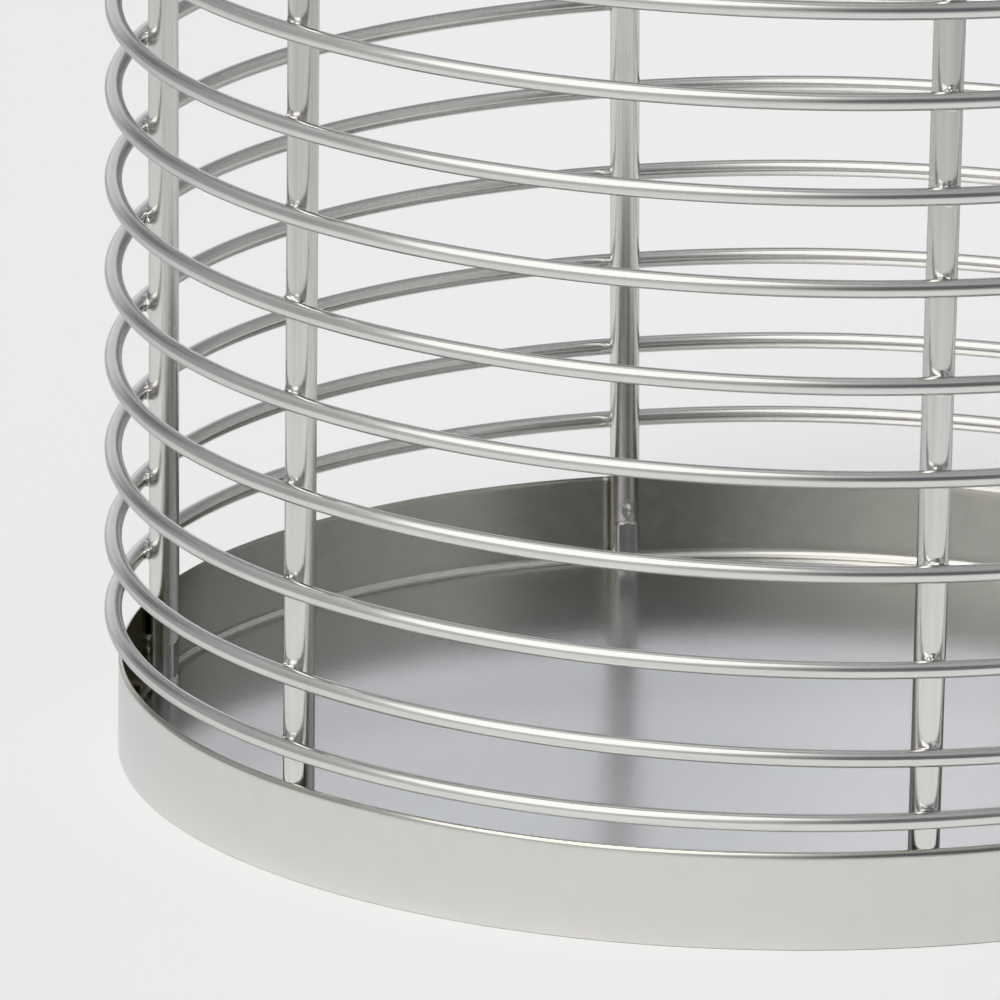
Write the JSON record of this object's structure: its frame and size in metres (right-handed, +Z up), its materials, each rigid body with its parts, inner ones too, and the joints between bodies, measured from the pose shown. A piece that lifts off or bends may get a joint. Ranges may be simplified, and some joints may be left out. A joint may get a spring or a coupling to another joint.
{
  "type": "utensil holder",
  "caption": "Round open-sided holder for kitchen utensils: a shallow pressed metal pan, upright wire posts and a wire coil wound round them up to a heavier top ring.",
  "frame": {"origin": "centre of the pan's flat underside", "axes": "+Z up along the holder's axis; -Y is the side that faces the camera in the picture; +X is to the right there"},
  "size_m": [0.1532, 0.1532, 0.168],
  "materials": {
    "wire": "satin nickel-plated steel wire, smooth, with a soft sheen and small bright weld marks",
    "pan_sheet": "satin nickel-plated pressed sheet, very fine grain outside, glossier inside",
    "weld_metal": "fused weld metal under the same satin plating, slightly rough"
  },
  "bodies": {
    "root": {"base_pan": "pan_sheet", "post_1": "wire", "post_2": "wire", "post_3": "wire", "post_4": "wire", "post_5": "wire", "post_6": "wire", "coil_turn_01": "wire", "coil_turn_02": "wire", "coil_turn_03": "wire", "coil_turn_04": "wire", "coil_turn_05": "wire", "coil_turn_06": "wire", "coil_turn_07": "wire", "coil_turn_08": "wire", "coil_turn_09": "wire", "coil_turn_10": "wire", "coil_turn_11": "wire", "coil_turn_12": "wire", "coil_turn_13": "wire", "coil_turn_14": "wire", "rim_ring": "wire", "coil_weld_nuggets": "weld_metal", "pan_weld_nuggets": "weld_metal"}
  },
  "joints": []
}
